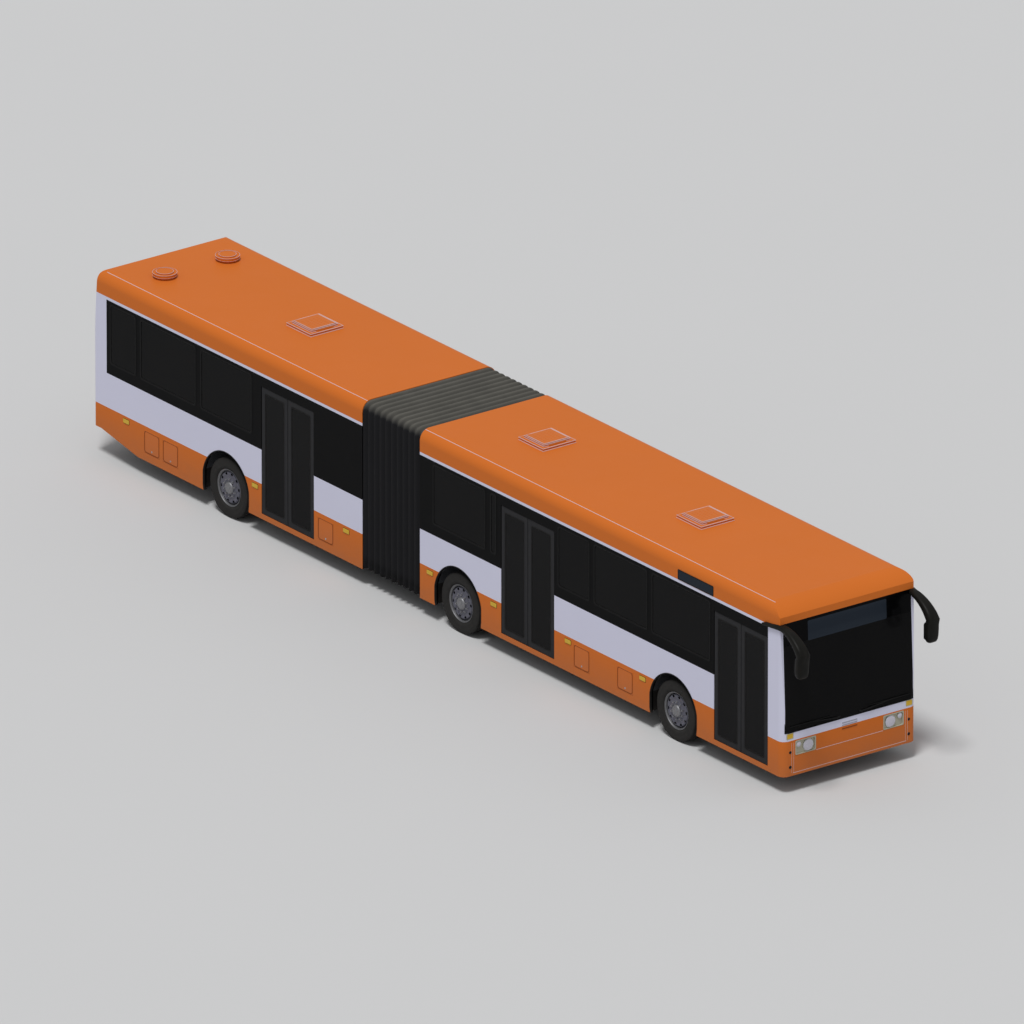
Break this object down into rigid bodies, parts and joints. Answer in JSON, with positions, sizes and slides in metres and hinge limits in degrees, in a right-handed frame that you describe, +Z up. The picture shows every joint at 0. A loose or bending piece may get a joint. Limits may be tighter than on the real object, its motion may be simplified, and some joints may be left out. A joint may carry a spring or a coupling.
{
  "type": "articulated bus",
  "caption": "Low-floor city bus in two sections joined by a pleated bellows over a turntable, with double doors on the right side.",
  "frame": {"origin": "on the road, below the middle of the whole bus with its mirrors", "axes": "+X towards the front, +Y towards the left side, +Z up"},
  "size_m": [18.0447, 2.69, 3.135],
  "materials": {
    "body_paint": "semi-gloss orange paint with a white waist band and a black glazing band",
    "tinted_glass": "dark tinted glass",
    "door_frame": "dark grey powder-coated frame round black glass",
    "chassis": "matte black underbody paint",
    "portal_frame": "dark anodised frame",
    "seat_fabric": "blue-grey woven moquette",
    "interior_plastic": "grained dark plastic",
    "engine_block": "rough cast metal",
    "black_plastic": "textured black plastic",
    "lamp_lens": "clear and amber lamp lenses",
    "tail_lens": "red lamp lenses and amber side markers",
    "display_screen": "blank dark display behind glass",
    "bellows_rubber": "pleated coated fabric",
    "wheel_steel": "blue-grey painted steel",
    "tyre_rubber": "worn black rubber"
  },
  "bodies": {
    "root": {"front_underframe": "chassis", "front_wall_right": "body_paint", "front_wall_left": "body_paint", "front_roof": "body_paint", "front_mask": "body_paint", "windscreen": "tinted_glass", "front_bumper": "body_paint", "front_windows": "tinted_glass", "front_portal": "portal_frame", "front_seats": "seat_fabric", "driver_station": "interior_plastic", "front_axle": "chassis", "middle_axle": "chassis", "mirrors": "black_plastic", "front_lamps": "lamp_lens", "displays": "display_screen", "bellows": "bellows_rubber"},
    "rear_section": {"rear_underframe": "chassis", "rear_wall_right": "body_paint", "rear_wall_left": "body_paint", "rear_roof": "body_paint", "rear_end": "body_paint", "rear_windows": "tinted_glass", "rear_portal": "portal_frame", "rear_seats": "seat_fabric", "rear_axle": "chassis", "engine": "engine_block", "rear_lamps": "tail_lens"},
    "bellows_hoop": {"bellows_hoop": "portal_frame"},
    "knuckle_left": {"knuckle_left": "chassis"},
    "knuckle_right": {"knuckle_right": "chassis"},
    "wheel_front_left": {"rim_front_left": "wheel_steel", "tyre_front_left": "tyre_rubber"},
    "wheel_front_right": {"rim_front_right": "wheel_steel", "tyre_front_right": "tyre_rubber"},
    "wheel_middle_left": {"rim_middle_left": "wheel_steel", "tyre_middle_left": "tyre_rubber"},
    "wheel_middle_right": {"rim_middle_right": "wheel_steel", "tyre_middle_right": "tyre_rubber"},
    "wheel_rear_left": {"rim_rear_left": "wheel_steel", "tyre_rear_left": "tyre_rubber"},
    "wheel_rear_right": {"rim_rear_right": "wheel_steel", "tyre_rear_right": "tyre_rubber"},
    "door_1_front": {"door_1_front": "door_frame"},
    "door_1_rear": {"door_1_rear": "door_frame"},
    "door_2_front": {"door_2_front": "door_frame"},
    "door_2_rear": {"door_2_rear": "door_frame"},
    "door_3_front": {"door_3_front": "door_frame"},
    "door_3_rear": {"door_3_rear": "door_frame"},
    "front_hatch": {"front_hatch_lid": "body_paint"},
    "middle_hatch": {"middle_hatch_lid": "body_paint"},
    "rear_hatch": {"rear_hatch_lid": "body_paint"},
    "flap_1": {"flap_1": "body_paint"},
    "flap_2": {"flap_2": "body_paint"},
    "flap_3": {"flap_3": "body_paint"},
    "flap_4": {"flap_4": "body_paint"},
    "flap_5": {"flap_5": "body_paint"},
    "engine_lid": {"engine_lid": "body_paint"}
  },
  "joints": [
    {"name": "articulation", "type": "hinge", "parent": "root", "child": "rear_section", "pos_m": [-1.3605, 0, 0.32], "axis": [0, 0, 1], "range_deg": [-45, 45], "deforming": ["bellows"]},
    {"name": "hoop_swing", "type": "hinge", "parent": "root", "child": "bellows_hoop", "pos_m": [-1.3605, 0, 0.32], "axis": [0, 0, 1], "range_deg": [-22.5, 22.5], "deforming": ["bellows"]},
    {"name": "steer_left", "type": "hinge", "parent": "root", "child": "knuckle_left", "pos_m": [5.785, 0.9, 0.485], "axis": [0, 0, 1], "range_deg": [-40, 40]},
    {"name": "steer_right", "type": "hinge", "parent": "root", "child": "knuckle_right", "pos_m": [5.785, -0.9, 0.485], "axis": [0, 0, 1], "range_deg": [-40, 40]},
    {"name": "roll_front_left", "type": "hinge", "parent": "knuckle_left", "child": "wheel_front_left", "pos_m": [5.785, 1.0975, 0.485], "axis": [0, 1, 0], "continuous": true},
    {"name": "roll_front_right", "type": "hinge", "parent": "knuckle_right", "child": "wheel_front_right", "pos_m": [5.785, -1.0975, 0.485], "axis": [0, 1, 0], "continuous": true},
    {"name": "roll_middle_left", "type": "hinge", "parent": "root", "child": "wheel_middle_left", "pos_m": [0.34, 1.0975, 0.485], "axis": [0, 1, 0], "continuous": true},
    {"name": "roll_middle_right", "type": "hinge", "parent": "root", "child": "wheel_middle_right", "pos_m": [0.34, -1.0975, 0.485], "axis": [0, 1, 0], "continuous": true},
    {"name": "roll_rear_left", "type": "hinge", "parent": "rear_section", "child": "wheel_rear_left", "pos_m": [-5.6, 1.0975, 0.485], "axis": [0, 1, 0], "continuous": true},
    {"name": "roll_rear_right", "type": "hinge", "parent": "rear_section", "child": "wheel_rear_right", "pos_m": [-5.6, -1.0975, 0.485], "axis": [0, 1, 0], "continuous": true},
    {"name": "door_1_front_swing", "type": "hinge", "parent": "root", "child": "door_1_front", "pos_m": [8.134, -1.222, 1.417], "axis": [0, 0, -1], "range_deg": [0, 90]},
    {"name": "door_1_rear_swing", "type": "hinge", "parent": "root", "child": "door_1_rear", "pos_m": [6.825, -1.222, 1.417], "axis": [0, 0, 1], "range_deg": [0, 90]},
    {"name": "door_2_front_swing", "type": "hinge", "parent": "root", "child": "door_2_front", "pos_m": [2.765, -1.222, 1.417], "axis": [0, 0, -1], "range_deg": [0, 90]},
    {"name": "door_2_rear_swing", "type": "hinge", "parent": "root", "child": "door_2_rear", "pos_m": [1.456, -1.222, 1.417], "axis": [0, 0, 1], "range_deg": [0, 90]},
    {"name": "door_3_front_swing", "type": "hinge", "parent": "rear_section", "child": "door_3_front", "pos_m": [-3.355, -1.222, 1.417], "axis": [0, 0, -1], "range_deg": [0, 90]},
    {"name": "door_3_rear_swing", "type": "hinge", "parent": "rear_section", "child": "door_3_rear", "pos_m": [-4.664, -1.222, 1.417], "axis": [0, 0, 1], "range_deg": [0, 90]},
    {"name": "front_hatch_tilt", "type": "hinge", "parent": "root", "child": "front_hatch", "pos_m": [5.16, 0, 3.0923], "axis": [0, 1, 0], "range_deg": [0, 60]},
    {"name": "middle_hatch_tilt", "type": "hinge", "parent": "root", "child": "middle_hatch", "pos_m": [1.17, 0, 3.0923], "axis": [0, 1, 0], "range_deg": [0, 60]},
    {"name": "rear_hatch_tilt", "type": "hinge", "parent": "rear_section", "child": "rear_hatch", "pos_m": [-4.76, 0, 3.0923], "axis": [0, 1, 0], "range_deg": [0, 60]},
    {"name": "flap_1_lift", "type": "hinge", "parent": "root", "child": "flap_1", "pos_m": [4.5715, -1.275, 0.783], "axis": [-1, 0, 0], "range_deg": [0, 100]},
    {"name": "flap_2_lift", "type": "hinge", "parent": "root", "child": "flap_2", "pos_m": [3.4775, -1.275, 0.783], "axis": [-1, 0, 0], "range_deg": [0, 100]},
    {"name": "flap_3_lift", "type": "hinge", "parent": "rear_section", "child": "flap_3", "pos_m": [-3.0365, -1.275, 0.783], "axis": [-1, 0, 0], "range_deg": [0, 100]},
    {"name": "flap_4_lift", "type": "hinge", "parent": "rear_section", "child": "flap_4", "pos_m": [-7.0315, -1.275, 0.783], "axis": [-1, 0, 0], "range_deg": [0, 100]},
    {"name": "flap_5_lift", "type": "hinge", "parent": "rear_section", "child": "flap_5", "pos_m": [-7.5155, -1.275, 0.783], "axis": [-1, 0, 0], "range_deg": [0, 100]},
    {"name": "engine_lid_lift", "type": "hinge", "parent": "rear_section", "child": "engine_lid", "pos_m": [-9.02, 0, 1.348], "axis": [0, 1, 0], "range_deg": [0, 80]}
  ],
  "couplings": [
    {"joint": "hoop_swing", "follows": "articulation", "ratio": 0.5},
    {"joint": "steer_right", "follows": "steer_left", "ratio": 1}
  ]
}
